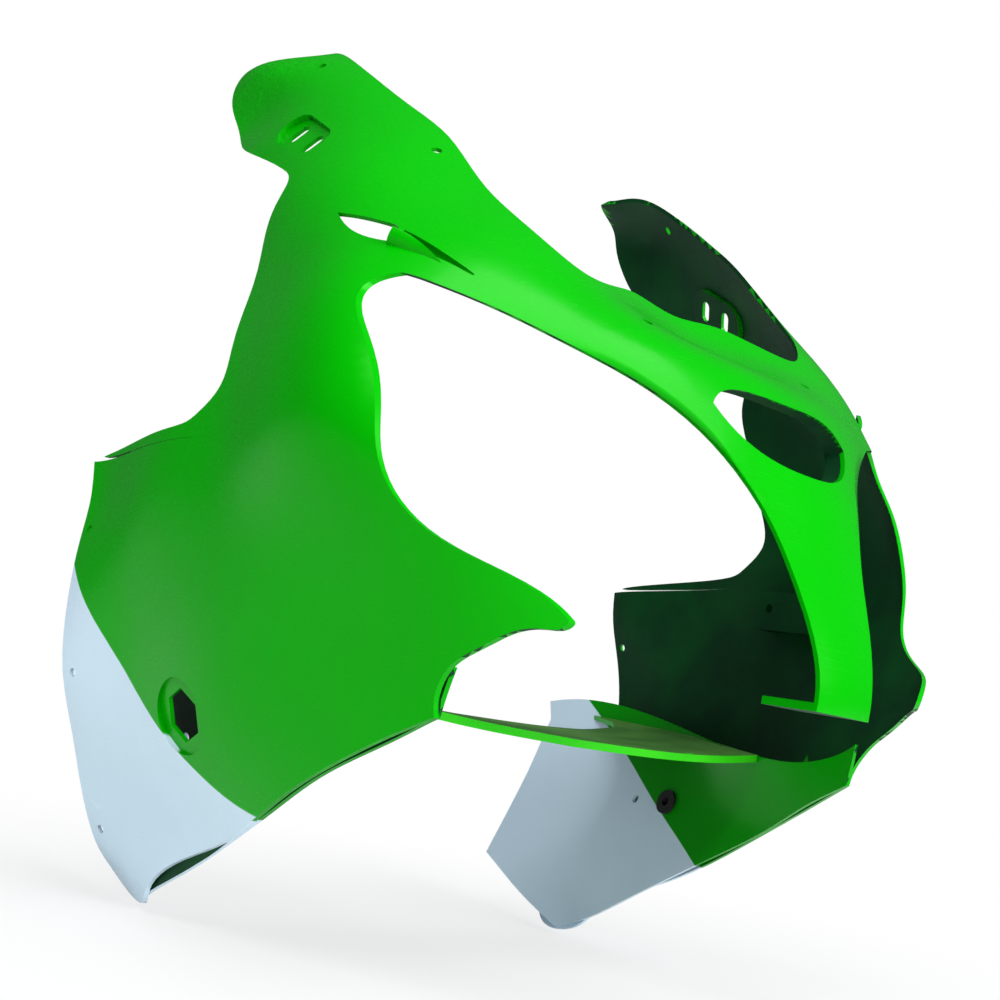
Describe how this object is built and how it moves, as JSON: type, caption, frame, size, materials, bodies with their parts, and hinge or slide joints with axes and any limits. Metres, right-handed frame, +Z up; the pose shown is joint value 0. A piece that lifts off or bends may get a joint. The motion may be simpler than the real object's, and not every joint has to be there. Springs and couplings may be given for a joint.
{
  "type": "motorcycle fairing",
  "caption": "Front upper cowl of a sport motorcycle with mirror lobes, lamp openings, a centre strut, an air intake and double-walled lower flanks.",
  "frame": {"origin": "on the underside of the centre strut's foot, in the middle plane", "axes": "+X to the row's right seen from behind, -Y forward to the nose, +Z up"},
  "size_m": [0.462, 0.4628, 0.5656],
  "materials": {
    "paint_green": "gloss paint, pale at the lower rear corners",
    "paint_inner": "gloss paint, green in front and pale behind",
    "raw_plastic": "unpainted, with overspray",
    "nut_rubber": "matt"
  },
  "bodies": {
    "root": {"fairing_shell": "paint_green", "chin_shelf": "raw_plastic", "inner_skin_left": "paint_inner", "inner_skin_right": "paint_inner", "mount_plate_left": "raw_plastic", "mount_plate_right": "raw_plastic", "well_nut_left": "nut_rubber", "well_nut_right": "nut_rubber"}
  },
  "joints": []
}
